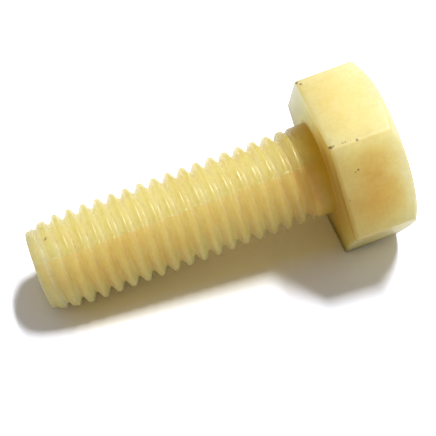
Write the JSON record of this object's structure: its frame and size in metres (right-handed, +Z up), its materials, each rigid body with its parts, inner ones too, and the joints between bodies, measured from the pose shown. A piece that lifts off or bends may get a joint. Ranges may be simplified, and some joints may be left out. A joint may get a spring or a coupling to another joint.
{
  "type": "hex head set screw",
  "caption": "Moulded nylon screw with a chamfered hexagon head and a coarse thread that runs almost up to the head, lying on its side.",
  "frame": {"origin": "centre of the bounding box's bottom face, on the surface that the screw lies on", "axes": "the screw lies along X with its head towards +X, its axis in the XZ plane and tilted up towards the head by 8.1 degrees; +Z is up"},
  "size_m": [0.0384, 0.0194, 0.0176],
  "materials": {
    "nylon": "natural, slightly yellowed, moulded satin gloss"
  },
  "bodies": {
    "root": {"set_screw": "nylon"}
  },
  "joints": []
}
